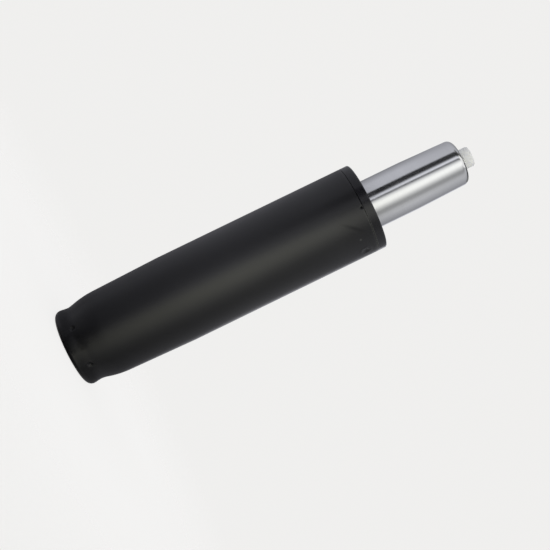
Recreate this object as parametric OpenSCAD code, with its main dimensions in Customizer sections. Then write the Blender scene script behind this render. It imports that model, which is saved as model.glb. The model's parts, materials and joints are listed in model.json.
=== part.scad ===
// Chair gas lift cylinder, fully lowered, standing on the foot of its column.
// Millimetres. The axis is +Z, the release button is up, and the origin is the centre of the foot.

/* [Column] */
// Outside diameter of the column tube
column_d = 50; // [45:0.5:60]
// Wall of the column tube
column_wall = 1.5; // [1:0.1:2]
// Height of the column tube, up to the seam under the rim
column_h = 176; // [160:1:220]
// Height at which the column's mounting taper runs out into the straight tube
taper_end_h = 64; // [50:1:80]
// Half angle of both mounting tapers, in degrees
taper_angle = 1.4378; // [1:0.0001:2]
// Chamfer on each side of the seam under the rim
seam_chamfer = 0.3; // [0.1:0.05:0.6]

/* [Column foot] */
// Height at which the swaged shoulder runs into the taper
shoulder_h = 24; // [20:0.5:30]
// Depth of the neck inside the shoulder
neck_depth = 2.5; // [1.5:0.05:3]
// Height of the narrowest place of the neck
neck_h = 7.7; // [6.5:0.1:9]
// Height from the neck to the place where its curve turns over
neck_run = 3.3; // [2:0.1:5]
// How far the lip stands out from the neck
lip_rise = 0.52; // [0.2:0.02:1]
// Outside radius of the rolled lip
lip_round = 3.2; // [2.2:0.1:4]
// Width of the flat ring that the column stands on
foot_flat = 1.5; // [0.5:0.1:3]

/* [Punch marks] */
// Number of marks that hold the base plate
foot_mark_count = 6; // [3:1:8]
// Diameter of each mark in the neck
foot_mark_d = 3.3; // [2:0.1:3.5]
// Height of those marks above the narrowest place of the neck
foot_mark_rise = 0.7; // [0:0.1:1]
// Turn of the first mark about the axis, in degrees
foot_mark_turn = 3.5; // [0:0.5:60]
// Number of marks that hold the guide sleeve
sleeve_mark_count = 2; // [1:1:4]
// Diameter of each mark under the rim
sleeve_mark_d = 5; // [3:0.1:6]
// Distance of those marks below the seam
sleeve_mark_drop = 7.3; // [6:0.1:10]
// Turn of the first of those marks, in degrees
sleeve_mark_turn = -29; // [-180:1:180]
// Depth of every punch mark
mark_depth = 0.6; // [0.3:0.05:0.9]
// Diameter of the notch in the column's upper edge
notch_d = 1.7; // [1:0.1:3]
// Distance of the notch's centre below the seam
notch_drop = 0.8; // [0.2:0.05:1.5]
// Turn of the notch about the axis, in degrees
notch_turn = -90; // [-180:1:180]

/* [Guide sleeve] */
// Height of the rim above the seam
rim_h = 5.3; // [3:0.1:8]
// Rounding of the rim's upper edge
rim_round = 1; // [0.5:0.1:2]
// Length of the sleeve below the seam
sleeve_h = 86; // [60:1:100]
// Wall round the sleeve's bore
bush_wall = 3; // [2:0.1:4]
// Height of the collar under the rim
upper_collar_h = 16; // [13:0.5:24]
// Height of the collar at the sleeve's lower end
lower_collar_h = 8; // [4:0.5:16]
// Number of ribs between the collars
rib_count = 8; // [4:1:12]
// Thickness of each rib
rib_t = 2.4; // [1.5:0.1:4]
// Chamfer at the mouth of the bore
bore_chamfer = 0.8; // [0.3:0.1:1.5]

/* [Base plate and thrust bearing] */
// How far the base plate lies above the foot
plate_recess = 5.5; // [4.8:0.1:6.2]
// Thickness of the base plate
plate_h = 7; // [5:0.1:9]
// Outside diameter of the bearing washers
race_d = 24; // [21:0.5:30]
// Thickness of each bearing washer
race_h = 1.6; // [1.2:0.1:2.5]
// Diameter of the bearing balls
ball_d = 4; // [3:0.1:4.6]
// Depth of the track in each bearing washer
track_depth = 0.4; // [0.2:0.05:0.7]
// Gap between neighbouring balls
ball_space = 0.8; // [0.5:0.1:2]
// Thickness of the ball cage
cage_h = 1.6; // [1:0.1:2.2]
// Width of the cage on each side of the balls
cage_edge = 0.9; // [0.6:0.1:1.2]

/* [Rod and bumper] */
// Diameter of the piston rod
rod_d = 10; // [9:0.5:11]
// Diameter of the rod's lower end, inside the bearing
rod_neck_d = 8; // [7:0.1:8.6]
// Diameter of the rod in the clip's groove
rod_groove_d = 6.4; // [5.5:0.1:6.8]
// Length of the rod below the clip
rod_tip_h = 1.6; // [1:0.1:2]
// Outside diameter of the retaining clip
clip_d = 13; // [11:0.5:16]
// Thickness of the retaining clip
clip_h = 1; // [0.8:0.1:1.2]
// Width of the clip's mouth
clip_mouth = 4.6; // [3:0.1:6]
// Outside diameter of the washer above the clip
clip_washer_d = 18; // [15:0.5:24]
// Thickness of the washer above the clip
clip_washer_h = 1.2; // [0.8:0.1:1.4]
// Play of the rod in the base plate, along the axis
end_play = 0.2; // [0.1:0.05:0.3]
// Outside diameter of the bumper and of the washer under it
bumper_d = 26; // [22:0.5:32]
// Height of the bumper
bumper_h = 9.2; // [6:0.1:16]
// Depth of the groove round the bumper
bumper_groove = 1.6; // [0.8:0.1:2.5]
// Thickness of the washer under the bumper
support_washer_h = 1.5; // [1:0.1:2.5]

/* [Pressure tube] */
// Outside diameter of the pressure tube
tube_d = 28; // [26:0.5:32]
// Wall of the pressure tube
tube_wall = 1.5; // [1.2:0.1:2]
// Length that stands out of the rim when the lift is down
tube_out = 57.65; // [50:0.05:80]
// Length of the tapered upper end
top_taper_h = 32; // [24:0.5:42]
// Outside radius of the rolled upper edge
top_round = 3.5; // [2.5:0.1:4]
// Outside radius of the rolled lower edge
low_round = 3; // [2.2:0.1:3.5]
// Width of the flat inside each rolled edge
roll_flat = 1.2; // [0.6:0.1:1.8]

/* [Gas spring] */
// Travel of the lift
stroke = 100; // [60:1:120]
// Gap between the inner cylinder and the pressure tube
bypass_gap = 1.5; // [1:0.1:2]
// Wall of the inner cylinder
liner_wall = 1; // [0.8:0.1:1.5]
// Thickness of the washer behind the rolled lower edge
closing_washer_h = 2; // [1.8:0.1:3]
// Length of the rod guide
rod_guide_h = 10; // [6:0.5:16]
// Height of the rod seal
rod_seal_h = 6; // [4:0.1:8]
// Thickness of the rod seal's lips
seal_lip_t = 1.6; // [1:0.1:2.2]
// Thickness of the washer above the rod seal
seal_washer_h = 1.5; // [1:0.1:2.5]
// Thickness of the liner ring's flange
ring_flange_h = 1.8; // [1.4:0.1:3]
// Height of the liner ring's spigot in the inner cylinder
ring_spigot_h = 3; // [2:0.1:5]
// Width of the gas slots across the liner ring
gas_slot_w = 2.4; // [1.5:0.1:3]
// Depth of the gas slots in the flange
gas_slot_depth = 0.9; // [0.5:0.1:1.2]

/* [Piston] */
// Height of the piston
piston_h = 10; // [6:0.5:14]
// Diameter of the rod's upper end, through the piston
rod_spigot_d = 7; // [6:0.1:8]
// Section diameter of the rings on the piston, the liner and the valve body
seal_d = 2; // [1.6:0.1:2.4]
// Diameter of the washer on the piston
piston_washer_d = 14; // [12:0.5:16]
// Thickness of the washer on the piston
piston_washer_h = 1.5; // [1:0.1:2.5]
// Diameter of the riveted rod end
rivet_d = 9.6; // [8.8:0.1:11]
// Height of the riveted rod end
rivet_h = 1.6; // [1:0.1:2.5]

/* [Valve] */
// Length of the valve body's head in the pressure tube
valve_head_h = 24.4; // [18:0.1:30]
// Length of the valve body's collar above the inner cylinder
valve_collar_h = 5.5; // [4.6:0.1:8]
// Length of the valve body's spigot in the inner cylinder
valve_spigot_h = 7; // [5:0.1:9]
// Distance of the valve body's seal from the head's lower end
valve_seal_rise = 4; // [2:0.1:8]
// Diameter of the valve pin
pin_d = 5; // [4:0.1:6]
// Diameter of the valve pin's waist
pin_waist_d = 3.4; // [2.5:0.1:3.8]
// Diameter of the valve pin's head
pin_head_d = 7.6; // [7:0.1:9]
// Height of the valve pin's head
pin_head_h = 2.5; // [1.5:0.1:4]
// Section diameter of the rings round the pin
pin_seal_d = 1.8; // [1.4:0.1:2]
// Height of the bush that holds the pin's rings in
retainer_h = 3; // [2:0.1:4]
// Room round the pin in that bush, for the gas
retainer_gap = 0.6; // [0.4:0.1:1]
// Height of the spacer between the pin's rings
spacer_h = 8; // [7:0.1:10]
// Diameter of the gas holes through the spacer and the valve body
gas_hole_d = 1.8; // [1.2:0.1:2.4]
// Number of gas holes round the valve body
gas_hole_count = 4; // [2:1:6]

/* [Release button] */
// Diameter of the release button
button_d = 11.5; // [9:0.1:12]
// How far the button stands out of the pressure tube
button_out = 6.5; // [5:0.05:10]
// Whole height of the button
button_h = 12.6; // [11:0.1:16]
// Rounding of the button's upper edge
button_round = 0.5; // [0.3:0.1:1.5]
// Thickness of the button above the pin
button_cap_h = 4; // [2:0.1:6]
// Travel of the button
press_travel = 4; // [2.5:0.1:5]

/* [Fits] */
// Clearance round pieces that are fixed to each other
fixed_gap = 0.05; // [0.02:0.01:0.08]
// Clearance round pieces that slide or turn on each other
running_gap = 0.05; // [0.03:0.01:0.1]
// Clearance between pieces that pass each other
free_gap = 0.3; // [0.2:0.05:0.5]

/* [Hidden] */

$fn = 96;
arc_steps = 8;
swage_step = 0.8;
taper_slope = tan(taper_angle);

// Column: radii and heights of the swaged foot
column_r = column_d / 2;
shoulder_r = column_r - (taper_end_h - shoulder_h) * taper_slope;
neck_r = shoulder_r - neck_depth;
lip_r = neck_r + lip_rise;
turn_h = neck_h + neck_run;
turn_slope = (2 * neck_depth - taper_slope * (shoulder_h - turn_h)) / (shoulder_h - neck_h);
foot_mark_h = neck_h + foot_mark_rise;
sleeve_mark_h = column_h - sleeve_mark_drop;
rim_top = column_h + rim_h;

// Guide sleeve
bore_r = tube_d / 2 + running_gap;
bush_r = bore_r + bush_wall;
sleeve_r = column_r - column_wall - fixed_gap;
sleeve_bottom = column_h - sleeve_h;

// Thrust bearing, from the base plate up
plate_top = plate_recess + plate_h;
race_hole_r = rod_neck_d / 2 + free_gap;
track_r = (race_d / 2 + race_hole_r) / 2;
ball_rise = ball_d / 2 + running_gap - track_depth;
ball_z = plate_top + race_h + ball_rise;
ball_count = floor(180 / asin((ball_d + ball_space) / (2 * track_r)));
upper_race_z = ball_z + ball_rise;
rod_shoulder_z = upper_race_z + race_h;

// Rod's lower end, from the base plate down
clip_washer_z = plate_recess - end_play - clip_washer_h;
clip_z = clip_washer_z - clip_h;
rod_end_z = clip_z - rod_tip_h;
rod_edge = 0.5;

// Bumper
bumper_z = rod_shoulder_z + support_washer_h;
rod_hole_r = rod_d / 2 + free_gap;

// Pressure tube
tube_r = tube_d / 2;
tube_bottom = bumper_z + bumper_h + free_gap;
tube_top = rim_top + tube_out;
top_taper_z = tube_top - top_taper_h;
top_r = tube_outer_r(tube_top - top_round);
top_hole_r = top_r - top_round - roll_flat;
low_hole_r = tube_r - low_round - roll_flat;

// Packing round the rod, from the rolled lower edge up
pack_r = tube_r - tube_wall - fixed_gap;
closing_washer_z = tube_bottom + tube_wall;
rod_guide_z = closing_washer_z + closing_washer_h;
rod_seal_z = rod_guide_z + rod_guide_h;
seal_washer_z = rod_seal_z + rod_seal_h;
liner_ring_z = seal_washer_z + seal_washer_h;
liner_z = liner_ring_z + ring_flange_h;
liner_ring_top = liner_z + ring_spigot_h;
liner_r = tube_r - tube_wall - bypass_gap;
liner_bore_r = liner_r - liner_wall;

// Piston, which meets the liner ring when the lift is up
piston_z = liner_ring_top + stroke + free_gap;
piston_r = liner_bore_r - running_gap;
piston_hole_r = rod_spigot_d / 2 + fixed_gap;
piston_seal_z = piston_z + piston_h / 2;
piston_washer_z = piston_z + piston_h;
rivet_z = piston_washer_z + piston_washer_h;

// Valve body, from the rolled upper edge down
valve_top = tube_top - tube_wall;
valve_head_z = valve_top - valve_head_h;
valve_collar_z = valve_head_z - valve_collar_h;
valve_spigot_z = valve_collar_z - valve_spigot_h;
valve_spigot_r = liner_bore_r - fixed_gap;
valve_seal_z = valve_head_z + valve_seal_rise;
valve_seal_r = tube_bore_r(valve_seal_z + seal_d) - fixed_gap;
liner_seal_z = valve_collar_z - valve_spigot_h / 2;

// Packing round the valve pin, from the valve body's lower end up
pin_r = pin_d / 2;
pin_seal_slot = pin_seal_d + 2 * fixed_gap;
pin_pack_r = pin_r + running_gap + pin_seal_d + fixed_gap;
seat_slot_z = valve_spigot_z + retainer_h;
spacer_z = seat_slot_z + pin_seal_slot;
pin_slot_z = spacer_z + spacer_h;
pin_pack_top = pin_slot_z + pin_seal_slot;
gas_hole_z = spacer_z + spacer_h / 2;
pin_head_top = valve_spigot_z - free_gap;

// Release button
button_top = tube_top + button_out;
button_z = button_top - button_h;
button_r = button_d / 2;
button_well_z = button_z - press_travel - free_gap;
pin_top = button_top - button_cap_h;

// Radius of a ball whose cap leaves a mark of this width
function mark_ball_r(mark_d) = (mark_d * mark_d / 4 + mark_depth * mark_depth) / (2 * mark_depth);

// Outside radius of the column tube at a height above the lip
function column_outer_r(z) =
    z >= shoulder_h ? min(column_r, shoulder_r + (z - shoulder_h) * taper_slope)
    : z >= turn_h ? shoulder_curve_r(shoulder_h - z)
    : z >= neck_h ? neck_r + pow(z - neck_h, 2) * turn_slope / (2 * neck_run)
    : neck_r + lip_rise * (1 + cos(180 * (z - lip_round) / (neck_h - lip_round))) / 2;

// Radius of the shoulder's curve at a depth below the taper
function shoulder_curve_r(depth) =
    shoulder_r - depth * taper_slope
    - pow(depth, 2) * (turn_slope - taper_slope) / (2 * (shoulder_h - turn_h));

// Outside and inside radius of the pressure tube at a height
function tube_outer_r(z) = tube_r - max(0, z - top_taper_z) * taper_slope;
function tube_bore_r(z) = tube_outer_r(z) - tube_wall;

// Points along an arc, and points reversed
function arc(centre, r, from, to) =
    [for (i = [0:arc_steps]) let (a = from + (to - from) * i / arc_steps) centre + r * [cos(a), sin(a)]];
function backwards(points) = [for (i = [len(points) - 1:-1:0]) points[i]];

// Column wall between two heights, moved in by an inset
function column_wall_points(low, high, inset) =
    let (steps = ceil((high - low) / swage_step))
    [for (i = [0:steps]) let (z = low + (high - low) * i / steps) [column_outer_r(z) - inset, z]];

module lathe(points) {
    rotate_extrude()
        polygon(points);
}

module ring(outer_r, inner_r, z, h) {
    translate([0, 0, z])
        difference() {
            cylinder(r = outer_r, h = h);
            translate([0, 0, -h])
                cylinder(r = inner_r, h = 3 * h);
        }
}

module torus(mid_r, section_r, z) {
    translate([0, 0, z])
        rotate_extrude()
            translate([mid_r, 0])
                circle(r = section_r);
}

// Ring seal that lies in a groove cut into a round piece
module groove_seal(outer_r, z) {
    torus(outer_r - seal_d / 2, seal_d / 2, z);
}

module seal_groove(outer_r, z) {
    h = seal_d + 2 * fixed_gap;
    ring(outer_r + seal_d, outer_r - seal_d - fixed_gap, z - h / 2, h);
}

// Balls round the column whose caps are the punch marks, grown by the wall to give the bumps inside
module marks(count, turn, h, mark_d, grow) {
    r = mark_ball_r(mark_d);
    for (i = [0:count - 1])
        rotate(turn + 360 * i / count)
            translate([column_outer_r(h) + r - mark_depth, 0, h])
                sphere(r = r + grow);
}

module all_marks(grow) {
    marks(foot_mark_count, foot_mark_turn, foot_mark_h, foot_mark_d, grow);
    marks(sleeve_mark_count, sleeve_mark_turn, sleeve_mark_h, sleeve_mark_d, grow);
}

// Outline of the column's outside, from the foot's flat up to the seam
function column_outside() = concat(
    [[lip_r - lip_round - foot_flat, 0]],
    arc([lip_r - lip_round, lip_round], lip_round, -90, -90 / arc_steps),
    column_wall_points(lip_round, shoulder_h, 0),
    [[column_r, taper_end_h], [column_r, column_h - seam_chamfer], [column_r - seam_chamfer, column_h]]);

// Outline of the column above the lip, moved in by an inset
function column_skin(inset) = concat(
    column_wall_points(lip_round, shoulder_h, inset),
    [[column_r - inset, taper_end_h], [column_r - inset, column_h]]);

function column_inside() = concat(
    [[lip_r - lip_round - foot_flat, column_wall]],
    arc([lip_r - lip_round, lip_round], lip_round - column_wall, -90, -90 / arc_steps),
    column_skin(column_wall));

// Bumps that the punch marks raise inside the column, rooted in the middle of its wall
module inner_bumps() {
    intersection() {
        lathe(concat([[0, lip_round]], column_skin(column_wall / 2), [[0, column_h]]));
        all_marks(column_wall);
    }
}

// Notch through the wall at the column's upper edge
module edge_notch() {
    rotate(notch_turn)
        translate([column_r - 2 * column_wall, 0, column_h - notch_drop])
            rotate([0, 90, 0])
                cylinder(r = notch_d / 2, h = 3 * column_wall);
}

module column_tube() {
    color("#232325")
        difference() {
            union() {
                lathe(concat(column_outside(), backwards(column_inside())));
                inner_bumps();
            }
            all_marks(0);
            edge_notch();
        }
}

module sleeve_rim() {
    lathe(concat(
        [[bore_r, column_h], [column_r - seam_chamfer, column_h], [column_r, column_h + seam_chamfer]],
        arc([column_r - rim_round, rim_top - rim_round], rim_round, 0, 90),
        [[bore_r + bore_chamfer, rim_top], [bore_r, rim_top - bore_chamfer]]));
}

module sleeve_ribs() {
    intersection() {
        ring(sleeve_r, bore_r, sleeve_bottom, sleeve_h);
        for (i = [0:rib_count - 1])
            rotate(360 * i / rib_count)
                translate([bore_r, -rib_t / 2, sleeve_bottom])
                    cube([sleeve_r, rib_t, sleeve_h]);
    }
}

module guide_sleeve() {
    color("#2a2a2c")
        difference() {
            union() {
                sleeve_rim();
                ring(bush_r, bore_r, sleeve_bottom, sleeve_h);
                ring(sleeve_r, bore_r, column_h - upper_collar_h, upper_collar_h);
                ring(sleeve_r, bore_r, sleeve_bottom, lower_collar_h);
                sleeve_ribs();
            }
            marks(sleeve_mark_count, sleeve_mark_turn, sleeve_mark_h, sleeve_mark_d, column_wall + fixed_gap);
        }
}

module base_plate() {
    color("#6e7073")
        difference() {
            lathe(concat(
                [[race_hole_r, plate_recess]],
                column_wall_points(plate_recess, plate_top, column_wall + fixed_gap),
                [[race_hole_r, plate_top]]));
            marks(foot_mark_count, foot_mark_turn, foot_mark_h, foot_mark_d, column_wall + fixed_gap);
        }
}

// Washer of the thrust bearing with its ball track
module race(hole_r, z) {
    difference() {
        ring(race_d / 2, hole_r, z, race_h);
        torus(track_r, ball_d / 2 + running_gap, ball_z);
    }
}

module lower_race() {
    color("#b9bcc0")
        race(race_hole_r, plate_top);
}

module upper_race() {
    color("#b9bcc0")
        race(rod_neck_d / 2 + fixed_gap, upper_race_z);
}

// Places its children at every ball
module at_balls() {
    for (i = [0:ball_count - 1])
        rotate(360 * i / ball_count)
            translate([track_r, 0, ball_z])
                children();
}

module ball_cage() {
    half_w = ball_d / 2 + cage_edge;
    color("#c2a45a")
        difference() {
            ring(track_r + half_w, track_r - half_w, ball_z - cage_h / 2, cage_h);
            at_balls()
                cylinder(r = ball_d / 2 + fixed_gap, h = 2 * cage_h, center = true);
        }
}

module bearing_balls() {
    color("#d5d7da")
        at_balls()
            sphere(r = ball_d / 2);
}

module piston_rod() {
    neck_r_rod = rod_neck_d / 2;
    groove_low = clip_z - fixed_gap;
    groove_high = clip_z + clip_h + fixed_gap;
    color("#c8cacd")
        lathe([
            [0, rod_end_z],
            [neck_r_rod - rod_edge, rod_end_z],
            [neck_r_rod, rod_end_z + rod_edge],
            [neck_r_rod, groove_low],
            [rod_groove_d / 2, groove_low],
            [rod_groove_d / 2, groove_high],
            [neck_r_rod, groove_high],
            [neck_r_rod, rod_shoulder_z],
            [rod_d / 2, rod_shoulder_z],
            [rod_d / 2, piston_z],
            [rod_spigot_d / 2, piston_z],
            [rod_spigot_d / 2, rivet_z],
            [rivet_d / 2, rivet_z],
            [rivet_d / 2 - rivet_h / 2, rivet_z + rivet_h],
            [0, rivet_z + rivet_h]
        ]);
}

module support_washer() {
    color("#9a9da1")
        ring(bumper_d / 2, rod_hole_r, rod_shoulder_z, support_washer_h);
}

module bumper() {
    r = bumper_d / 2;
    top = bumper_z + bumper_h;
    color("#1b1b1c")
        lathe([
            [rod_hole_r, bumper_z],
            [r, bumper_z],
            [r, bumper_z + bumper_h / 4],
            [r - bumper_groove, bumper_z + bumper_h / 2],
            [r, top - bumper_h / 4],
            [r - bumper_groove, top],
            [rod_hole_r, top]
        ]);
}

module clip_washer() {
    color("#9a9da1")
        ring(clip_washer_d / 2, rod_neck_d / 2 + fixed_gap, clip_washer_z, clip_washer_h);
}

module retaining_clip() {
    color("#3c3d40")
        difference() {
            ring(clip_d / 2, rod_groove_d / 2 + fixed_gap, clip_z, clip_h);
            translate([0, -clip_mouth / 2, clip_z - clip_h])
                cube([clip_d, clip_mouth, 3 * clip_h]);
        }
}

module piston() {
    color("#a8acb0")
        difference() {
            ring(piston_r, piston_hole_r, piston_z, piston_h);
            seal_groove(piston_r, piston_seal_z);
        }
}

module piston_seal() {
    color("#161617")
        groove_seal(piston_r, piston_seal_z);
}

module piston_washer() {
    color("#9a9da1")
        ring(piston_washer_d / 2, piston_hole_r, piston_washer_z, piston_washer_h);
}

module pressure_tube() {
    low_centre = [tube_r - low_round, tube_bottom + low_round];
    top_centre = [top_r - top_round, tube_top - top_round];
    color("#b4b6b9")
        lathe(concat(
            [[low_hole_r, tube_bottom]],
            arc(low_centre, low_round, -90, 0),
            [[tube_r, top_taper_z]],
            arc(top_centre, top_round, 0, 90),
            [[top_hole_r, tube_top], [top_hole_r, valve_top]],
            arc(top_centre, top_round - tube_wall, 90, 0),
            [[tube_r - tube_wall, top_taper_z]],
            arc(low_centre, low_round - tube_wall, 0, -90),
            [[low_hole_r, closing_washer_z]]));
}

module inner_cylinder() {
    color("#8d9094")
        ring(liner_r, liner_bore_r, liner_z, valve_collar_z - liner_z);
}

module closing_washer() {
    edge = low_round - tube_wall;
    color("#9a9da1")
        lathe([
            [rod_hole_r, closing_washer_z],
            [pack_r - edge, closing_washer_z],
            [pack_r, closing_washer_z + edge],
            [pack_r, rod_guide_z],
            [rod_hole_r, rod_guide_z]
        ]);
}

module rod_guide() {
    color("#b08d4a")
        ring(pack_r, rod_d / 2 + running_gap, rod_guide_z, rod_guide_h);
}

module rod_seal() {
    seal_bore_r = rod_d / 2 + running_gap;
    valley_r = (pack_r + seal_bore_r) / 2;
    color("#161617")
        lathe([
            [seal_bore_r, rod_seal_z],
            [pack_r, rod_seal_z],
            [pack_r, seal_washer_z],
            [pack_r - seal_lip_t, seal_washer_z],
            [valley_r, rod_seal_z + rod_seal_h / 2],
            [seal_bore_r + seal_lip_t, seal_washer_z],
            [seal_bore_r, seal_washer_z]
        ]);
}

module seal_washer() {
    color("#9a9da1")
        ring(pack_r, rod_hole_r, seal_washer_z, seal_washer_h);
}

module liner_ring() {
    color("#dcd9d0")
        difference() {
            union() {
                ring(pack_r, rod_hole_r, liner_ring_z, ring_flange_h);
                ring(liner_bore_r - fixed_gap, rod_hole_r, liner_ring_z, ring_flange_h + ring_spigot_h);
            }
            for (turn = [0, 90])
                rotate(turn)
                    translate([-tube_d / 2, -gas_slot_w / 2, liner_z - gas_slot_depth])
                        cube([tube_d, gas_slot_w, 2 * ring_spigot_h + gas_slot_depth]);
        }
}

// Outline of the valve body, with its head following the pressure tube's bore
module valve_blank() {
    edge = top_round - tube_wall;
    head_low_r = tube_bore_r(valve_head_z) - fixed_gap;
    head_top_r = tube_bore_r(valve_top - edge) - fixed_gap;
    lathe([
        [0, valve_spigot_z],
        [valve_spigot_r, valve_spigot_z],
        [valve_spigot_r, valve_collar_z],
        [liner_r, valve_collar_z],
        [liner_r, valve_head_z],
        [head_low_r, valve_head_z],
        [head_top_r, valve_top - edge],
        [head_top_r - edge, valve_top],
        [0, valve_top]
    ]);
}

// Gas holes out to a radius, through the spacer or the valve body
module gas_holes(to_r) {
    for (i = [0:gas_hole_count - 1])
        rotate(360 * i / gas_hole_count)
            translate([0, 0, gas_hole_z])
                rotate([0, 90, 0])
                    cylinder(r = gas_hole_d / 2, h = to_r);
}

module valve_body() {
    well_h = valve_top - button_well_z;
    pack_h = pin_pack_top - valve_spigot_z;
    color("#3a3b3e")
        difference() {
            valve_blank();
            translate([0, 0, valve_spigot_z - pack_h])
                cylinder(r = pin_pack_r, h = 2 * pack_h);
            translate([0, 0, valve_spigot_z])
                cylinder(r = pin_r + running_gap, h = valve_top - valve_spigot_z);
            translate([0, 0, button_well_z])
                cylinder(r = button_r + running_gap, h = 2 * well_h);
            gas_holes(tube_r);
            seal_groove(valve_seal_r, valve_seal_z);
            seal_groove(valve_spigot_r, liner_seal_z);
        }
}

module valve_body_seal() {
    color("#161617")
        groove_seal(valve_seal_r, valve_seal_z);
}

module liner_seal() {
    color("#161617")
        groove_seal(valve_spigot_r, liner_seal_z);
}

// Ring round the valve pin, in the middle of its slot
module pin_ring(slot_z) {
    color("#161617")
        torus(pin_r + running_gap + pin_seal_d / 2, pin_seal_d / 2, slot_z + pin_seal_slot / 2);
}

module pin_seal() {
    pin_ring(pin_slot_z);
}

module seat_seal() {
    pin_ring(seat_slot_z);
}

module spacer_ring() {
    color("#c2a45a")
        difference() {
            ring(pin_pack_r - fixed_gap, pin_r + free_gap, spacer_z, spacer_h);
            gas_holes(tube_r);
        }
}

module seat_retainer() {
    color("#9a9da1")
        ring(pin_pack_r - fixed_gap, pin_r + retainer_gap, valve_spigot_z, retainer_h);
}

module valve_pin() {
    waist_low = spacer_z + free_gap;
    waist_high = pin_slot_z - free_gap;
    ramp = pin_r - pin_waist_d / 2;
    color("#c8cacd")
        lathe([
            [0, pin_head_top - pin_head_h],
            [pin_head_d / 2, pin_head_top - pin_head_h],
            [pin_head_d / 2, pin_head_top],
            [pin_r, pin_head_top],
            [pin_r, waist_low],
            [pin_r - ramp, waist_low + ramp],
            [pin_r - ramp, waist_high - ramp],
            [pin_r, waist_high],
            [pin_r, pin_top],
            [0, pin_top]
        ]);
}

module release_button() {
    color("#e8e9e4")
        lathe(concat(
            [[pin_r + fixed_gap, button_z], [button_r, button_z]],
            arc([button_r - button_round, button_top - button_round], button_round, 0, 90),
            [[0, button_top], [0, pin_top], [pin_r + fixed_gap, pin_top]]));
}

column_tube();
guide_sleeve();
base_plate();
lower_race();
ball_cage();
bearing_balls();
upper_race();
piston_rod();
support_washer();
bumper();
clip_washer();
retaining_clip();
piston();
piston_seal();
piston_washer();
pressure_tube();
inner_cylinder();
closing_washer();
rod_guide();
rod_seal();
seal_washer();
liner_ring();
valve_body();
valve_body_seal();
liner_seal();
pin_seal();
seat_seal();
spacer_ring();
seat_retainer();
valve_pin();
release_button();
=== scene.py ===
import json
import math
from collections import namedtuple

import bpy
import numpy as np
from mathutils import Matrix, Vector


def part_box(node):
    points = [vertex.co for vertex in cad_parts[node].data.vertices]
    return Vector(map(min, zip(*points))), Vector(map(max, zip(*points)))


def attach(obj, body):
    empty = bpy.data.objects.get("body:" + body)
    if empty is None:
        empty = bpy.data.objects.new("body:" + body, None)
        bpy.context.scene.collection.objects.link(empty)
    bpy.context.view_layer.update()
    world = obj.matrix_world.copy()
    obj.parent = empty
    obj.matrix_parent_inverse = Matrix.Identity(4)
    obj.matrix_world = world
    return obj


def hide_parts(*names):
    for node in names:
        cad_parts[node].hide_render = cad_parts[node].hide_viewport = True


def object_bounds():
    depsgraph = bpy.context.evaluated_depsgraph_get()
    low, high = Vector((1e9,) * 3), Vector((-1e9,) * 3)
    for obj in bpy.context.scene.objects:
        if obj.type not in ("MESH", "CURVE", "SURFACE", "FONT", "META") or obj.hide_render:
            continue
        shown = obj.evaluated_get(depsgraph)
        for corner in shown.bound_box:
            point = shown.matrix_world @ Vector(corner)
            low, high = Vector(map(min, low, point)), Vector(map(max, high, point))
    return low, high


# Looks, studio and camera for the chair gas lift cylinder, in the frame's metres

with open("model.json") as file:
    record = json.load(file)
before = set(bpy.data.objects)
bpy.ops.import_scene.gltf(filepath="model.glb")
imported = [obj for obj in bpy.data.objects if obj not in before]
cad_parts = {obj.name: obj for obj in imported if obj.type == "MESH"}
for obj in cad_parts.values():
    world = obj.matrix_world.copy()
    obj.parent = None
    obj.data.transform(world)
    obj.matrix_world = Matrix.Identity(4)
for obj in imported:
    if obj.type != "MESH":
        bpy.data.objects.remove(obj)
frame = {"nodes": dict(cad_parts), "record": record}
CAD_LOW, CAD_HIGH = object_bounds()

MM = 0.001

# Column, as the solid has it
TAPER_HALF_ANGLE = math.radians(1.4378)
TAPER_SLOPE = math.tan(TAPER_HALF_ANGLE)
TAPER_END_H = 64 * MM
SHOULDER_H = 24 * MM
NECK_H = 7.7 * MM
NECK_RUN = 3.3 * MM
NECK_DEPTH = 2.5 * MM
LIP_RISE = 0.52 * MM
LIP_ROUND = 3.2 * MM
FOOT_FLAT = 1.5 * MM
COLUMN_WALL = 1.5 * MM
SEAM_CHAMFER = 0.3 * MM

# Dents in the column: how many, turn of the first in degrees, height, width, depth, ridge round each
Dents = namedtuple("Dents", "count turn height width depth ridge")
FOOT_MARKS = Dents(6, 3.5, 8.4 * MM, 3.3 * MM, 0.85 * MM, 0.08 * MM)
SLEEVE_MARKS = Dents(2, -29.0, 168.7 * MM, 5.0 * MM, 0.6 * MM, 0.08 * MM)
EDGE_NOTCH = Dents(1, -90.0, 175.2 * MM, 1.7 * MM, 1.1 * MM, 0.0)

# Form of a dent: the power that rounds its rim off, and in half widths where its ridge is and how wide
DENT_POWER = 1.5
RIDGE_AT = 1.25
RIDGE_WIDTH = 0.3

# Pressure tube
TUBE_WALL = 1.5 * MM
TOP_TAPER_H = 32 * MM
TOP_ROUND = 3.5 * MM
LOW_ROUND = 3.0 * MM
ROLL_FLAT = 1.2 * MM

# Release button
BUTTON_ROUND = 0.5 * MM
BUTTON_CAP_H = 4.0 * MM
PIN_R = 2.5 * MM
FIXED_GAP = 0.05 * MM

# A chip in the coat, a mark of use, and the side from which on painted light lightens the seam's edges
CHIP_AT = (15.3 * MM, -19.8 * MM, 167.8 * MM)
CHIP_INNER_R = 0.3 * MM
CHIP_OUTER_R = 0.9 * MM
SEAM_LIGHT_FROM_X = -2 * MM
SEAM_LIGHT_TO_X = 4 * MM
SEAM_LIGHT_INNER_H = 0.3 * MM
SEAM_LIGHT_OUTER_H = 0.5 * MM
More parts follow.
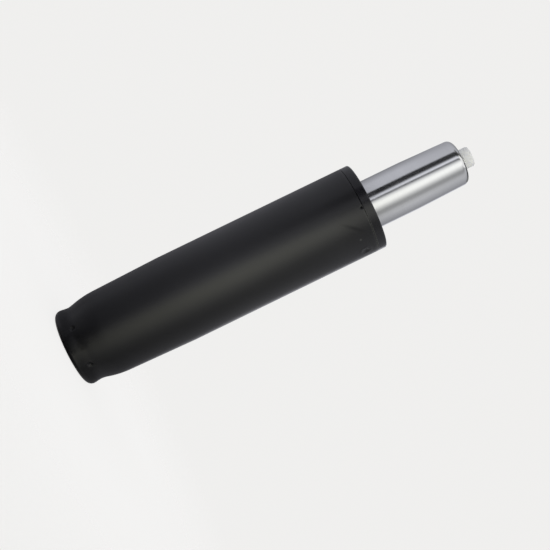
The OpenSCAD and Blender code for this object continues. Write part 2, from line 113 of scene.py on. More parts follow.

# Streak across the coat where its reflection is dimmer: its ends, half its width, how deep it reaches,
# where it fades, as shares of these, and the gloss away from it and in it
STREAK_ENDS = (Vector((2.8, -24.8, 160.5)) * MM, Vector((12.8, -21.5, 172.6)) * MM)
STREAK_HALF_WIDTH = 1.5 * MM
STREAK_REACH = 8 * MM
STREAK_FADE = (0.1, 1.0)
STREAK_GLOSSES = ((1, 1, 1, 1), (0.6, 0.6, 0.6, 1))

# Noises: the range that most of one lies in, and how rough it is unless its finish says
NOISE_LOW = 0.3
NOISE_HIGH = 0.7
NOISE_ROUGHNESS = 0.5

# Finishes: colours and roughnesses are pairs that a noise goes between. A noise is (spots a metre, or along
# each axis, then detail, and where it differs roughness), and a relief is (depth, strength).
COAT_COLOURS = ((0.0048, 0.0048, 0.0058, 1), (0.0075, 0.0075, 0.0088, 1))
COAT_ROUGHNESSES = (0.28, 0.33)
COAT_SPECULAR = 0.42
COAT_CLOUD = (45, 4)
COAT_SMEARS = ((60, 60, 14), 3)
COAT_PEEL = (650, 2)
COAT_PEEL_RELIEF = (0.018 * MM, 0.6)
COAT_GRAIN = (3800, 3)
COAT_GRAIN_RELIEF = (0.009 * MM, 0.6)
# Colour of the chip in the coat, and of the painted light along the seam's edges
CHIP_AND_SEAM_LIGHT_COLOUR = (0.045, 0.045, 0.043, 1)

SLEEVE_COLOURS = ((0.0052, 0.005, 0.0068, 1), (0.0076, 0.0074, 0.0094, 1))
SLEEVE_ROUGHNESSES = (0.18, 0.23)
SLEEVE_SPECULAR = 0.33
SLEEVE_CLOUD = (90, 3)
SLEEVE_GRAIN = (2600, 3)
SLEEVE_RELIEF = (0.01 * MM, 0.6)

# The rolled end of the tube is smoother, and turns so over the length of the fade
STEEL_COLOURS = ((0.48, 0.482, 0.486, 1), (0.54, 0.542, 0.546, 1))
STEEL_ROUGHNESSES = (0.155, 0.185)
STEEL_PATCHES = (110, 3)
STEEL_LINES = ((25, 25, 5200), 3, 0.6)
STEEL_LINES_RELIEF = (0.0012 * MM, 0.5)
STEEL_HAIRS = ((60, 60, 14000), 2)
STEEL_HAIRS_RELIEF = (0.0006 * MM, 0.5)
STEEL_ANISOTROPY = 0.5
STEEL_ANISOTROPY_TURN = 0.25
ROLL_ROUGHNESS = 0.12
ROLL_FADE = 1 * MM

SPRING_COLOURS = ((0.018, 0.018, 0.02, 1), (0.05, 0.05, 0.052, 1))
SPRING_ROUGHNESSES = (0.42, 0.6)
SPRING_METALLIC = 0.5
SPRING_SPECKLE = (2200, 4)
SPRING_RELIEF = (0.01 * MM, 0.5)

BUTTON_COLOURS = ((0.79, 0.79, 0.765, 1), (0.86, 0.86, 0.84, 1))
BUTTON_ROUGHNESSES = (0.34, 0.44)
BUTTON_SPECULAR = 0.45
BUTTON_CLOUD = (260, 3)
BUTTON_GRAIN = (3000, 2)
BUTTON_RELIEF = (0.006 * MM, 0.5)
BUTTON_SCATTER = 0.35
BUTTON_SCATTER_RADII = (1.0, 1.0, 0.9)
BUTTON_SCATTER_SCALE = 1.2 * MM

# Metals that are turned or stamped, and rubber and plastics that are moulded: two colours, least roughness
TURNED = {
    "plain_steel": ((0.30, 0.305, 0.31, 1), (0.42, 0.425, 0.43, 1), 0.32),
    "bearing_brass": ((0.50, 0.36, 0.15, 1), (0.64, 0.48, 0.21, 1), 0.3),
    "light_alloy": ((0.52, 0.53, 0.54, 1), (0.62, 0.63, 0.64, 1), 0.34),
}
TURNED_ROUGHNESS_RANGE = 0.12
TURNED_MOTTLE = (420, 4)
TURNED_RINGS = ((90, 90, 2400), 3)
TURNED_RELIEF = (0.004 * MM, 0.5)
MOULDED = {
    "seal_rubber": ((0.011, 0.011, 0.012, 1), (0.018, 0.018, 0.019, 1), 0.55),
    "valve_plastic": ((0.03, 0.03, 0.033, 1), (0.045, 0.045, 0.048, 1), 0.42),
    "ring_plastic": ((0.6, 0.58, 0.52, 1), (0.7, 0.68, 0.62, 1), 0.45),
}
MOULDED_ROUGHNESS_RANGE = 0.1
MOULDED_CLOUD = (120, 3)
MOULDED_GRAIN = (1900, 3)
MOULDED_RELIEF = (0.008 * MM, 0.6)

# Fineness of the meshes
SEGMENTS = 480
CARD_SEGMENTS = 180
FINE_STEP = 0.35 * MM
COARSE_STEP = 10 * MM
ARC_STEPS = 12
SHARP_ANGLE = math.radians(40)
ON_AXIS = 1e-7

# Camera of the photograph: what it looks at, how far, tilted up, and the axis turned out of the level
CAMERA_TARGET = Vector((12.1 * MM, 0, 118.65 * MM))
CAMERA_DISTANCE = 590 * MM
CAMERA_TILT = math.radians(1.6)
AXIS_ROLL = math.radians(25.95)
SENSOR_WIDTH = 36.0
FIELD_WIDTH = 304.9 * MM
CLIP_START = 5.9 * MM

# Studio: pale surroundings, and round the object a wall of light in tiers of upright bands. The foot's
# bands are the lowest. A tier starts to show at its first height and is all there is from its second, until
# the next tier starts. A band is (azimuth in degrees, radiance), from the rear round the left, the front at
# 0 and the right. Warmth, by azimuth too, is how far a tier's tint goes from cool to warm.
PALE = (0.87, 0.865, 0.855, 1)
FILL_STRENGTH = 0.6
ALL_ROUND = (-180, 180)
WALL_R = 1.1
WALL_LOW = -0.9
WALL_HIGH = 3.0
WALL_TOP_RADIANCE = 2.0
COLUMN_TINTS = (Vector((0.97, 0.97, 1.06)), Vector((1.03, 1.03, 0.88)))
SHAFT_TINTS = (Vector((0.96, 0.972, 1.05)), Vector((1.0, 1.005, 0.98)))
WARMTH = [
    (-180, 0), (-25, 0), (-12, 0.1), (5, 0.9), (20, 1), (45, 0.65), (75, 0.5), (100, 0.3), (135, 0.1),
    (180, 0),
]
FOOT_BANDS = [
    (-180, 0.5), (-150, 0.5), (-120, 0.65), (-96, 1.25), (-72, 0.7), (-48, 0.45), (-36, 0.3), (-24, 0.05),
    (-12, 0.1), (0, 1.0), (12, 1.7), (24, 2.0), (36, 1.85), (48, 1.1), (72, 0.5), (90, 0.7), (120, 0.7),
    (150, 0.5), (180, 0.6),
]
COLUMN_BANDS = [
    (-180, 0.25), (-150, 0.28), (-120, 0.54), (-92, 0.66), (-56, 0.48), (-38, 0.58), (-24, 0.7),
    (-12, 1.15), (0, 1.73), (12, 1.98), (24, 1.74), (36, 1.24), (48, 0.82), (60, 0.52), (74, 0.4),
    (108, 0.5), (144, 0.4), (156, 0.9), (180, 0.9),
]
EDGE_BANDS = [
    (-180, 0.25), (-150, 0.28), (-120, 0.42), (-92, 0.38), (-64, 0.16), (-53, 0.12), (-50, 0.02),
    (-23, 0.02), (-14, 0.15), (-9, 0.25), (-4, 0.8), (4, 1.25), (14, 1.25), (24, 1.0), (36, 0.62),
    (48, 0.34), (60, 0.38), (74, 0.4), (108, 0.36), (144, 0.28), (156, 0.9), (180, 0.9),
]
SHAFT_BANDS = [
    (-180, 0.3), (-150, 0.36), (-120, 0.62), (-92, 0.94), (-60, 1.0), (-52, 0.94), (-49.5, 0.0),
    (-30, 0.0), (-21, 1.35), (-15.5, 1.35), (-13.5, 0.12), (-9, 0.12), (-5, 0.8), (3, 1.5), (10, 1.8),
    (22, 1.8), (38, 1.0), (49, 0.55), (60, 0.58), (72, 0.88), (86, 0.94), (116, 0.62), (144, 0.4),
    (156, 0.9), (180, 0.9),
]
TIP_BANDS = [
    (-180, 0.4), (-150, 0.5), (-120, 0.64), (-92, 0.76), (-60, 0.82), (-54, 0.78), (-51, 0.06),
    (-31, 0.06), (-21, 1.35), (-15.5, 1.35), (-13.5, 0.2), (-9, 0.2), (-5, 0.7), (3, 1.4), (10, 1.8),
    (22, 1.8), (38, 1.0), (49, 0.53), (60, 0.52), (72, 0.76), (86, 0.82), (116, 0.62), (144, 0.4),
    (156, 0.9), (180, 0.9),
]
TIERS = [
    (-0.34, -0.06, COLUMN_BANDS, COLUMN_TINTS),
    (0.2, 0.28, EDGE_BANDS, COLUMN_TINTS),
    (0.3, 0.34, SHAFT_BANDS, SHAFT_TINTS),
    (0.42, 0.5, TIP_BANDS, SHAFT_TINTS),
]

# Cards, seen by reflections alone: two close the wall below and above, the low one dark in its middle, one
# hangs as a light over the front, a dark one high on the left, and one behind the object, dark at its upper
# right; a glow is (axis, place, radiance, place, radiance)
LOW_CARD_RADIANCES = (1.0, 0.05)
LOW_CARD_DARK_R = (0.25, 0.5)
HIGH_CARD_RADIANCE = 0.3
TOP_LIGHT_RADIANCE = 1.7
TOP_LIGHT_H = 1.6
TOP_LIGHT_CORNERS = [(-0.6, -0.9), (0.0, 0.45), (0.4, 0.45), (0.9, -0.9)]
LEFT_CARD_R = 0.9
LEFT_CARD_AZIMUTHS = (-74, -50)
LEFT_CARD_HEIGHTS = (0.9, 2.6)
LEFT_CARD_RADIANCE = 0.2
REAR_CARD_R = 0.3
REAR_CARD_AZIMUTHS = (125, 200)
REAR_CARD_HEIGHTS = (0.35, 1.6)
REAR_CARD_GLOWS = [("X", 0.08, 0.35, 0.15, 0.05), ("Z", 0.44, 0.3, 0.54, 0.05)]

# Grey scrims round the foot, before its lip and round the coat below the seam, through which they see the
# light: name, radius, azimuths, and at some heights the share of light that passes
FOOT_SHARES = [(0.01, 0.36), (0.025, 0.52), (0.056, 0.7), (0.1, 1.0)]
SCRIMS = [
    ("front_scrim", 0.05, (-100, 100), [(-0.2, 0.05), (-0.04, 0.05), (-0.025, 0.36), *FOOT_SHARES]),
    ("rear_scrim", 0.05, (100, 260), [(-0.2, 0.05), (-0.1, 0.05), (-0.08, 0.36), *FOOT_SHARES]),
    ("lip_scrim", 0.03, (-26, 10), [(-0.01, 0.4), (0.006, 0.4), (0.008, 1.0)]),
    ("seam_scrim", 0.027, ALL_ROUND, [(0.157, 1.0), (0.168, 0.88), (0.1755, 0.8)]),
]

# Floor: it shows the object's shadow, and fades into the surroundings
FLOOR_R = 1.0
FLOOR_DROP = 0.05 * MM
FLOOR_SHADOW_SHARE = 0.15
FLOOR_GLOW = 1.1
FLOOR_FADE_FROM = 0.10
FLOOR_FADE_TO = 0.30


def arc(centre_r, centre_z, radius, start, end):
    """Points (r, z) along an arc, with the angles in degrees."""
    angles = np.radians(np.linspace(start, end, ARC_STEPS + 1))
    return [(centre_r + radius * math.cos(a), centre_z + radius * math.sin(a)) for a in angles]


def spread(low, high, step):
    """Evenly spaced heights from low to high, about a step apart."""
    return np.linspace(low, high, max(1, round((high - low) / step)) + 1)


def link(name, vertices, faces):
    """New object in the scene with that mesh."""
    mesh = bpy.data.meshes.new(name)
    mesh.from_pydata(vertices, [], faces)
    mesh.validate()
    thing = bpy.data.objects.new(name, mesh)
    bpy.context.scene.collection.objects.link(thing)
    return thing


def revolve(name, profile, closed):
    """Piece turned from a profile of (r, z) points; a point on the axis becomes one vertex."""
    turns = np.linspace(0, 2 * math.pi, SEGMENTS, endpoint=False)
    vertices, rings = [], []
    for r, z in profile:
        start = len(vertices)
        if r < ON_AXIS:
            vertices.append((0, 0, z))
            rings.append([start] * SEGMENTS)
        else:
            vertices += [(r * math.cos(t), r * math.sin(t), z) for t in turns]
            rings.append(list(range(start, start + SEGMENTS)))
    followers = rings[1:] + rings[:1] if closed else rings[1:]
    faces = []
    for ring, follower in zip(rings, followers):
        for i in range(SEGMENTS):
            k = (i + 1) % SEGMENTS
            corners = [ring[i], ring[k], follower[k], follower[i]]
            faces.append(list(dict.fromkeys(corners)))
    return link(name, vertices, faces)


def finish_piece(piece, body, node, slot):
    """Shades a piece, gives it its slot's material and puts it in its node's place."""
    piece.data.shade_smooth()
    piece.data.set_sharp_from_angle(angle=SHARP_ANGLE)
    piece.data.materials.append(MATERIALS[slot])
    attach(piece, body)
    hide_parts(node)


class Graph:
    """Node tree of a material or of the world."""

    def __init__(self, owner):
        owner.use_nodes = True
        self.tree = owner.node_tree
        self.tree.nodes.clear()

    def add(self, kind, inputs=None, **settings):
        """New node; inputs are values or sockets by the input's name or number."""
        node = self.tree.nodes.new("ShaderNode" + kind)
        for key, value in settings.items():
            setattr(node, key, value)
        for key, value in (inputs or {}).items():
            if isinstance(value, bpy.types.NodeSocket):
                self.tree.links.new(value, node.inputs[key])
            else:
                node.inputs[key].default_value = value
        return node

    def math(self, operation, first, second):
        """Result of an operation on two values or sockets."""
        return self.add("Math", {0: first, 1: second}, operation=operation).outputs["Value"]

    def here(self):
        """Object coordinates, in metres."""
        return self.add("TexCoord").outputs["Object"]

    def axes(self):
        """Object coordinates one by one: X, Y and Z."""
        return self.add("SeparateXYZ", {"Vector": self.here()}).outputs

    def noise(self, scale, detail, roughness=NOISE_ROUGHNESS):
        """Noise factor with that many spots a metre, or that many along each axis."""
        stretch = scale if isinstance(scale, tuple) else (scale, scale, scale)
        place = self.add("Mapping", {"Vector": self.here(), "Scale": stretch}).outputs["Vector"]
        settings = {"Vector": place, "Scale": 1.0, "Detail": detail, "Roughness": roughness}
        return self.add("TexNoise", settings).outputs["Fac"]

    def near(self, point, inner, outer):
        """1 within the inner distance of a point, fading to 0 at the outer one."""
        gap = self.add("VectorMath", {0: self.here(), 1: point}, operation="DISTANCE").outputs["Value"]
        return self.between(gap, 1.0, 0.0, inner, outer)

    def between(self, factor, low, high, from_low=NOISE_LOW, from_high=NOISE_HIGH):
        """Factor mapped from its own range, or else a noise's, to a value from low to high."""
        reach = {"From Min": from_low, "From Max": from_high, "To Min": low, "To Max": high}
        return self.add("MapRange", {"Value": factor, **reach}).outputs["Result"]

    def blend(self, factor, first, second):
        """Colour that goes from first to second with a factor."""
        inputs = {"Factor": factor, "A": first, "B": second}
        node = self.tree.nodes.new("ShaderNodeMix")
        node.data_type = "RGBA"
        for socket in node.inputs:
            if socket.enabled and socket.name in inputs:
                value = inputs[socket.name]
                if isinstance(value, bpy.types.NodeSocket):
                    self.tree.links.new(value, socket)
                else:
                    socket.default_value = value
        return next(socket for socket in node.outputs if socket.enabled)

    def bump(self, height, distance, strength, normal=None):
        """Normal of a relief, on its own or over another normal."""
        inputs = {"Height": height, "Distance": distance, "Strength": strength}
        if normal is not None:
            inputs["Normal"] = normal
        return self.add("Bump", inputs).outputs["Normal"]

    def ramp(self, value, stops):
        """Colour along a list of (value, colour) stops."""
        first, last = stops[0][0], stops[-1][0]
        node = self.add("ValToRGB", {"Fac": self.between(value, 0.0, 1.0, first, last)})
        elements = node.color_ramp.elements
        while len(elements) < len(stops):
            elements.new(1.0)
        for element, (place, colour) in zip(elements, stops):
            element.position = (place - first) / (last - first)
            element.color = (*colour, 1)
        return node.outputs["Color"]

    def mix(self, factor, first, second):
        """Shader that goes from first to second with a factor."""
        return self.add("MixShader", {0: factor, 1: first, 2: second}).outputs["Shader"]

    def emission(self, colour, strength):
        """Shader that glows."""
        return self.add("Emission", {"Color": colour, "Strength": strength}).outputs["Emission"]

    def surface(self, inputs):
        """Principled surface, joined to the output."""
        self.show(self.add("BsdfPrincipled", inputs).outputs["BSDF"])

    def show(self, shader, kind="OutputMaterial"):
        """Joins a shader to a new output."""
        self.add(kind, {"Surface": shader})


def new_material(name):
    """New material with its empty node tree."""
    material = bpy.data.materials.new(name)
    return material, Graph(material)


def seam_painted_light(g):
    """1 along the seam under the rim, on the side where painted light lightens it, fading to 0 away from
    it.
    """
    seam_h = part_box("column_tube")[1].z
    place = g.axes()
    gap = g.math("ABSOLUTE", g.math("SUBTRACT", place["Z"], seam_h), 0.0)
    near = g.between(gap, 1.0, 0.0, SEAM_LIGHT_INNER_H, SEAM_LIGHT_OUTER_H)
    return g.math("MULTIPLY", near, g.between(place["X"], 0.0, 1.0, SEAM_LIGHT_FROM_X, SEAM_LIGHT_TO_X))


def dim_streak(g):
    """1 along the middle of the streak, fading to 0 at its edge."""
    first, last = STREAK_ENDS
    middle = (first + last) / 2
    along = (last - first).normalized()
    across = along.cross(middle.xy.to_3d()).normalized()
    turn = Matrix((along, across, along.cross(across))).transposed().to_euler()
    size = ((last - first).length / 2, STREAK_HALF_WIDTH, STREAK_REACH)
    inputs = {"Vector": g.here(), "Location": middle, "Rotation": turn, "Scale": size}
    place = g.add("Mapping", inputs, vector_type="TEXTURE").outputs["Vector"]
    gap = g.add("VectorMath", {0: place}, operation="LENGTH").outputs["Value"]
    return g.between(gap, 1.0, 0.0, *STREAK_FADE)


def black_coat():
    """Satin black powder coat with fine grain, orange peel and faint smears, a chip, a streak of dimmer
    reflection, and painted light along the seam's edges.
    """
    material, g = new_material("black_coat")
    peel = g.bump(g.noise(*COAT_PEEL), *COAT_PEEL_RELIEF)
    colour = g.blend(g.noise(*COAT_CLOUD), *COAT_COLOURS)
    chip = g.near(CHIP_AT, CHIP_INNER_R, CHIP_OUTER_R)
    g.surface({
        # Lighter at the chip, and painted light along the seam's edges under the rim
        "Base Color": g.blend(g.math("MAXIMUM", chip, seam_painted_light(g)), colour, CHIP_AND_SEAM_LIGHT_COLOUR),
        "Roughness": g.between(g.noise(*COAT_SMEARS), *COAT_ROUGHNESSES),
        "Specular IOR Level": COAT_SPECULAR,
        "Specular Tint": g.blend(dim_streak(g), *STREAK_GLOSSES),
        "Normal": g.bump(g.noise(*COAT_GRAIN), *COAT_GRAIN_RELIEF, peel),
    })
    return material


def sleeve_plastic():
    """Black moulded plastic with a fine grain, with painted light along its edge at the seam."""
    material, g = new_material("sleeve_plastic")
    cloud = g.noise(*SLEEVE_CLOUD)
    colour = g.blend(cloud, *SLEEVE_COLOURS)
    g.surface({
        # Painted light along the sleeve's edge at the seam
        "Base Color": g.blend(seam_painted_light(g), colour, CHIP_AND_SEAM_LIGHT_COLOUR),
        "Roughness": g.between(cloud, *SLEEVE_ROUGHNESSES),
        "Specular IOR Level": SLEEVE_SPECULAR,
        "Normal": g.bump(g.noise(*SLEEVE_GRAIN), *SLEEVE_RELIEF),
    })
    return material


def ground_steel():
    """Bright steel, ground round the axis: hair lines in rings, and reflections drawn out along it."""
    material, g = new_material("ground_steel")
    lines = g.noise(*STEEL_LINES)
    ground = g.bump(lines, *STEEL_LINES_RELIEF)
    roughness = g.between(g.noise(*STEEL_PATCHES), *STEEL_ROUGHNESSES)
    roll_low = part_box("pressure_tube")[1].z - TOP_ROUND
    rolled = g.between(g.axes()["Z"], 0.0, 1.0, roll_low, roll_low + ROLL_FADE)
    g.surface({
        "Base Color": g.blend(lines, *STEEL_COLOURS),
        "Metallic": 1.0,
        "Roughness": g.between(rolled, roughness, ROLL_ROUGHNESS, 0.0, 1.0),
        "Anisotropic": STEEL_ANISOTROPY,
        "Anisotropic Rotation": STEEL_ANISOTROPY_TURN,
        "Tangent": g.add("Tangent", direction_type="RADIAL", axis="Z").outputs["Tangent"],
        "Normal": g.bump(g.noise(*STEEL_HAIRS), *STEEL_HAIRS_RELIEF, ground),
    })
    return material


def turned_metal(name, dark, light, roughness):
    """Turned or stamped metal with tool rings and a mottled tone."""
    material, g = new_material(name)
    mottle = g.noise(*TURNED_MOTTLE)
    g.surface({
        "Base Color": g.blend(mottle, dark, light),
        "Metallic": 1.0,
        "Roughness": g.between(mottle, roughness, roughness + TURNED_ROUGHNESS_RANGE),
        "Normal": g.bump(g.noise(*TURNED_RINGS), *TURNED_RELIEF),
    })
    return material


def dark_phosphate():
    """Black spring steel with a matt phosphate skin."""
    material, g = new_material("spring_steel")
    speckle = g.noise(*SPRING_SPECKLE)
    g.surface({
        "Base Color": g.blend(speckle, *SPRING_COLOURS),
        "Metallic": SPRING_METALLIC,
        "Roughness": g.between(speckle, *SPRING_ROUGHNESSES),
        "Normal": g.bump(speckle, *SPRING_RELIEF),
    })
    return material


def moulded(name, dark, light, roughness):
    """Moulded rubber or plastic with a fine grain and a slight change of tone."""
    material, g = new_material(name)
    cloud = g.noise(*MOULDED_CLOUD)
    g.surface({
        "Base Color": g.blend(cloud, dark, light),
        "Roughness": g.between(cloud, roughness, roughness + MOULDED_ROUGHNESS_RANGE),
        "Normal": g.bump(g.noise(*MOULDED_GRAIN), *MOULDED_RELIEF),
    })
    return material


def button_plastic():
    """Milky white plastic that lets a little light through."""
    material, g = new_material("button_plastic")
    cloud = g.noise(*BUTTON_CLOUD)
    g.surface({
        "Base Color": g.blend(cloud, *BUTTON_COLOURS),
        "Roughness": g.between(cloud, *BUTTON_ROUGHNESSES),
        "Subsurface Weight": BUTTON_SCATTER,
        "Subsurface Radius": BUTTON_SCATTER_RADII,
        "Subsurface Scale": BUTTON_SCATTER_SCALE,
        "Specular IOR Level": BUTTON_SPECULAR,
        "Normal": g.bump(g.noise(*BUTTON_GRAIN), *BUTTON_RELIEF),
    })
    return material


MATERIALS = {
    "black_coat": black_coat(),
    "sleeve_plastic": sleeve_plastic(),
    "ground_steel": ground_steel(),
    "spring_steel": dark_phosphate(),
    "button_plastic": button_plastic(),
    **{name: turned_metal(name, *look) for name, look in TURNED.items()},
    **{name: moulded(name, *look) for name, look in MOULDED.items()},
}


def column_outer_r(z, column_r):
    """Outside radius of the column tube at a height, from its lip's round up."""
    shoulder_r = column_r - (TAPER_END_H - SHOULDER_H) * TAPER_SLOPE
    neck_r = shoulder_r - NECK_DEPTH
    turn_h = NECK_H + NECK_RUN
    turn_slope = (2 * NECK_DEPTH - TAPER_SLOPE * (SHOULDER_H - turn_h)) / (SHOULDER_H - NECK_H)
    if z >= SHOULDER_H:
        return min(column_r, shoulder_r + (z - SHOULDER_H) * TAPER_SLOPE)
    if z >= turn_h:
        depth = SHOULDER_H - z
        bend = (turn_slope - TAPER_SLOPE) / (2 * (SHOULDER_H - turn_h))
        return shoulder_r - depth * TAPER_SLOPE - depth**2 * bend
    if z >= NECK_H:
        return neck_r + (z - NECK_H) ** 2 * turn_slope / (2 * NECK_RUN)
    swing = math.cos(math.pi * (max(z, LIP_ROUND) - LIP_ROUND) / (NECK_H - LIP_ROUND))
    return neck_r + LIP_RISE * (1 + swing) / 2


def press_dents(piece, dents, column_r):
    """Presses dents into the outside of the column, with a slight ridge round each."""
    count, turn, height, width, depth, ridge = dents
    places = np.empty(3 * len(piece.data.vertices))
    piece.data.vertices.foreach_get("co", places)
    places = places.reshape(-1, 3)
    x, y, z = places.T
    r = np.hypot(x, y)
    middle = np.array([column_outer_r(h, column_r) for h in z]) - COLUMN_WALL / 2
    pitch = 360 / count
    off = (np.degrees(np.arctan2(y, x)) - turn + pitch / 2) % pitch - pitch / 2
    reach = np.hypot(np.radians(off) * column_outer_r(height, column_r), z - height) / (width / 2)
    dent = depth * np.clip(1 - reach**2, 0, 1) ** DENT_POWER
    rise = ridge * np.exp(-(((reach - RIDGE_AT) / RIDGE_WIDTH) ** 2))
    scale = np.where(r > middle, 1 + (rise - dent) / r, 1)
    places[:, :2] *= scale[:, None]
    piece.data.vertices.foreach_set("co", places.ravel())
    piece.data.update()


def column_shell():
    """The black column tube, rolled in at the foot, with its punch marks and the notch at its edge."""
    _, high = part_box("column_tube")
    column_r, top = high.x, high.z
    foot_r = column_outer_r(LIP_ROUND, column_r) - LIP_ROUND
    lip = (foot_r, LIP_ROUND)
    marks_low = SLEEVE_MARKS.height - SLEEVE_MARKS.width
    foot = spread(LIP_ROUND, SHOULDER_H, FINE_STEP)
    taper = spread(SHOULDER_H, TAPER_END_H, COARSE_STEP)[1:]
    straight = spread(TAPER_END_H, marks_low, COARSE_STEP)[1:]
    edge = spread(marks_low, top - SEAM_CHAMFER, FINE_STEP)[1:]
    outside = [(foot_r - FOOT_FLAT, 0), *arc(*lip, LIP_ROUND, -90, 0)[:-1]]
    outside += [(column_outer_r(z, column_r), z) for z in [*foot, *taper, *straight, *edge]]
    outside += [(column_r - SEAM_CHAMFER, top)]
    inside = [(foot_r - FOOT_FLAT, COLUMN_WALL), *arc(*lip, LIP_ROUND - COLUMN_WALL, -90, 0)[:-1]]
    inside += [(column_outer_r(z, column_r) - COLUMN_WALL, z) for z in [*foot[::2], *taper, top]]
    piece = revolve("column_shell", outside + inside[::-1], closed=True)
    for dents in (FOOT_MARKS, SLEEVE_MARKS, EDGE_NOTCH):
        press_dents(piece, dents, column_r)
    finish_piece(piece, "column", "column_tube", "black_coat")


def bright_tube():
    """The pressure tube with its taper and rolled edges."""
    low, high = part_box("pressure_tube")
    tube_r, bottom, top = high.x, low.z, high.z
    taper_z = top - TOP_TAPER_H
    top_r = tube_r - (TOP_TAPER_H - TOP_ROUND) * TAPER_SLOPE
    low_arc = (tube_r - LOW_ROUND, bottom + LOW_ROUND)
    top_arc = (top_r - TOP_ROUND, top - TOP_ROUND)
    top_hole_r = top_r - TOP_ROUND - ROLL_FLAT
    low_hole_r = tube_r - LOW_ROUND - ROLL_FLAT
    profile = [
        (low_hole_r, bottom),
        *arc(*low_arc, LOW_ROUND, -90, 0),
        (tube_r, taper_z),
        *arc(*top_arc, TOP_ROUND, 0, 90),
        (top_hole_r, top),
        (top_hole_r, top - TUBE_WALL),
        *arc(*top_arc, TOP_ROUND - TUBE_WALL, 90, 0),
        (tube_r - TUBE_WALL, taper_z),
        *arc(*low_arc, LOW_ROUND - TUBE_WALL, 0, -90),
        (low_hole_r, bottom + TUBE_WALL),
    ]
    piece = revolve("bright_tube", profile, closed=True)
    finish_piece(piece, "pressure_tube", "pressure_tube", "ground_steel")


def button_cap():
    """The white release button, hollow over the valve pin."""
    low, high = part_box("release_button")
    r, bottom, top = high.x, low.z, high.z
    hole_r = PIN_R + FIXED_GAP
    profile = [
        (0, top - BUTTON_CAP_H),
        (hole_r, top - BUTTON_CAP_H),
        (hole_r, bottom),
        (r - BUTTON_ROUND / 2, bottom),
        (r, bottom + BUTTON_ROUND / 2),
        *arc(r - BUTTON_ROUND, top - BUTTON_ROUND, BUTTON_ROUND, 0, 90),
        (0, top),
    ]
    piece = revolve("button_cap", profile, closed=False)
    finish_piece(piece, "button", "release_button", "button_plastic")


def dress_cad_nodes():
    """Gives every CAD node the material of its slot."""
    for row in frame["record"]["subparts"]:
        mesh = frame["nodes"][row["node"]].data
        mesh.materials.clear()
        mesh.materials.append(MATERIALS[row["material_slot"]])


def band_stops(bands, tints):
    """Stops of a ramp for bands of light, in the cool tint that turns warm where the light is warm."""
    cool, warm = tints
    stops = []
    for azimuth, radiance in bands:
        tint = cool.lerp(warm, np.interp(azimuth, *zip(*WARMTH)))
        stops.append((math.radians(azimuth), tint * radiance / WALL_TOP_RADIANCE))
    return stops


def staged(name, points, faces):
    """Stage piece that the camera doesn't see, with the nodes of its new material."""
    piece = link(name, points, faces)
    piece.visible_camera = False
    material, g = new_material(name)
    material.cycles.emission_sampling = "NONE"
    piece.data.materials.append(material)
    return piece, g


def curved_card(name, radius, azimuths, heights):
    """Part of an upright cylinder round the object, as a stage piece with its nodes."""
    turns = np.radians(np.linspace(*azimuths, CARD_SEGMENTS + 1))
    points = [(radius * math.sin(t), -radius * math.cos(t), z) for t in turns for z in heights]
    faces = [(2 * i, 2 * i + 1, 2 * i + 3, 2 * i + 2) for i in range(CARD_SEGMENTS)]
    return staged(name, points, faces)


def grey_ramp(g, value, shares):
    """Ramp of greys along a list of (value, share) stops."""
    return g.ramp(value, [(place, (share, share, share)) for place, share in shares])


def light_wall():
    """Wall of light all round the object, in tiers of upright bands."""
    _, g = curved_card("light_wall", WALL_R, ALL_ROUND, (WALL_LOW, WALL_HIGH))
    split = g.axes()
    turn = g.math("ARCTAN2", split["X"], g.math("MULTIPLY", split["Y"], -1.0))
    colour = g.ramp(turn, band_stops(FOOT_BANDS, COLUMN_TINTS))
    for first, last, bands, tints in TIERS:
        tier = g.ramp(turn, band_stops(bands, tints))
        colour = g.blend(g.between(split["Z"], 0.0, 1.0, first, last), colour, tier)
    g.show(g.emission(colour, WALL_TOP_RADIANCE))


def round_card(name, z):
    """Level disc as wide as the wall."""
    turns = np.linspace(0, 2 * math.pi, CARD_SEGMENTS, endpoint=False)
    points = [(WALL_R * math.cos(t), WALL_R * math.sin(t), z) for t in turns]
    return staged(name, points, [range(CARD_SEGMENTS)])


def brightest(g, glows):
    """Brightest of some glows, each from one place and radiance along an axis to another."""
    place = g.axes()
    radiance = 0.0
    for axis, first, start, last, end in glows:
        radiance = g.math("MAXIMUM", radiance, g.between(place[axis], start, end, first, last))
    return radiance


def end_cards():
    """Cards that show as lines along edges and round the rolled end of the shaft."""
    below, below_g = round_card("card_below", WALL_LOW)
    middle = below_g.near((0, 0, WALL_LOW), *LOW_CARD_DARK_R)
    below_g.show(below_g.emission(PALE, below_g.between(middle, *LOW_CARD_RADIANCES, 0.0, 1.0)))
    above, above_g = round_card("card_above", WALL_HIGH)
    above_g.show(above_g.emission(PALE, HIGH_CARD_RADIANCE))
    corners = [(x, y, TOP_LIGHT_H) for x, y in TOP_LIGHT_CORNERS]
    light, light_g = staged("top_light", corners, [range(len(corners))])
    light_g.show(light_g.emission(PALE, TOP_LIGHT_RADIANCE))
    left, left_g = curved_card("card_left", LEFT_CARD_R, LEFT_CARD_AZIMUTHS, LEFT_CARD_HEIGHTS)
    left_g.show(left_g.emission(PALE, LEFT_CARD_RADIANCE))
    behind, behind_g = curved_card("card_behind", REAR_CARD_R, REAR_CARD_AZIMUTHS, REAR_CARD_HEIGHTS)
    behind_g.show(behind_g.emission(PALE, brightest(behind_g, REAR_CARD_GLOWS)))
    for card in (below, above, light, left, behind):
        card.visible_diffuse = False


def column_scrims():
    """Scrims that dim the light towards the column's ends; only reflections see them."""
    for name, radius, azimuths, shares in SCRIMS:
        scrim, g = curved_card(name, radius, azimuths, (shares[0][0], shares[-1][0]))
        scrim.visible_diffuse = False
        scrim.visible_shadow = False
        passing = g.add("BsdfTransparent", {"Color": grey_ramp(g, g.axes()["Z"], shares)}).outputs["BSDF"]
        g.show(passing)


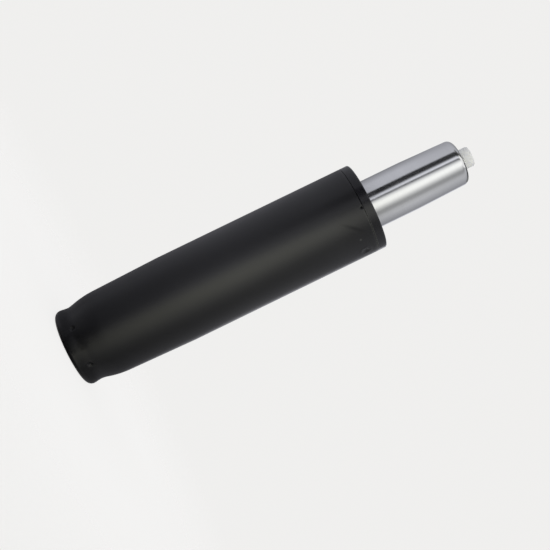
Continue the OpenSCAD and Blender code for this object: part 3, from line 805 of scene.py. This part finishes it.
def pale_world():
    """Pale surroundings for what the camera and the gloss see, and softer fill light for the rest."""
    world = bpy.data.worlds.new("studio")
    bpy.context.scene.world = world
    g = Graph(world)
    path = g.add("LightPath").outputs
    seen = g.math("MAXIMUM", path["Is Camera Ray"], path["Is Glossy Ray"])
    seen = g.math("MAXIMUM", seen, path["Is Transmission Ray"])
    fill = g.add("Background", {"Color": PALE, "Strength": FILL_STRENGTH}).outputs["Background"]
    shown = g.add("Background", {"Color": PALE, "Strength": 1.0}).outputs["Background"]
    g.show(g.mix(seen, fill, shown), "OutputWorld")


def pale_floor():
    """Floor of the surroundings' own colour that keeps the object's shadow, and is open from below."""
    low = CAD_LOW.z - FLOOR_DROP
    corners = [(FLOOR_R * x, FLOOR_R * y, low) for x, y in ((-1, -1), (1, -1), (1, 1), (-1, 1))]
    floor = link("floor", corners, [(0, 1, 2, 3)])
    material, g = new_material("floor")
    path = g.add("LightPath").outputs
    behind = g.add("NewGeometry").outputs["Backfacing"]
    distant = g.math("SUBTRACT", 1.0, g.near((0, 0, low), FLOOR_FADE_FROM, FLOOR_FADE_TO))
    unseen = g.math("MULTIPLY", distant, path["Is Camera Ray"])
    unseen = g.math("MAXIMUM", unseen, g.math("MAXIMUM", behind, path["Is Glossy Ray"]))
    lit = g.add("BsdfDiffuse", {"Color": PALE}).outputs["BSDF"]
    own = g.emission(PALE, FLOOR_GLOW)
    kept = g.math("MULTIPLY", path["Is Camera Ray"], 1 - FLOOR_SHADOW_SHARE)
    solid = g.mix(kept, lit, own)
    g.show(g.mix(unseen, solid, g.add("BsdfTransparent").outputs["BSDF"]))
    floor.data.materials.append(material)


def photo_camera():
    """Camera at the photograph's angle: nearly square to the axis, rolled so that the axis slants."""
    ahead = Vector((0, math.cos(CAMERA_TILT), math.sin(CAMERA_TILT)))
    level = Vector((1, 0, 0))
    along = level.cross(ahead)
    right = along * math.cos(AXIS_ROLL) + level * math.sin(AXIS_ROLL)
    up = along * math.sin(AXIS_ROLL) - level * math.cos(AXIS_ROLL)
    data = bpy.data.cameras.new("camera")
    data.sensor_width = SENSOR_WIDTH
    data.lens = SENSOR_WIDTH * CAMERA_DISTANCE / FIELD_WIDTH
    data.clip_start = CLIP_START
    camera = bpy.data.objects.new("camera", data)
    turn = Matrix((right, up, -ahead)).transposed().to_4x4()
    camera.matrix_world = Matrix.Translation(CAMERA_TARGET - ahead * CAMERA_DISTANCE) @ turn
    bpy.context.scene.collection.objects.link(camera)
    bpy.context.scene.camera = camera


dress_cad_nodes()
column_shell()
bright_tube()
button_cap()
pale_world()
light_wall()
end_cards()
column_scrims()
pale_floor()
photo_camera()
bpy.context.scene.view_settings.view_transform = "Standard"
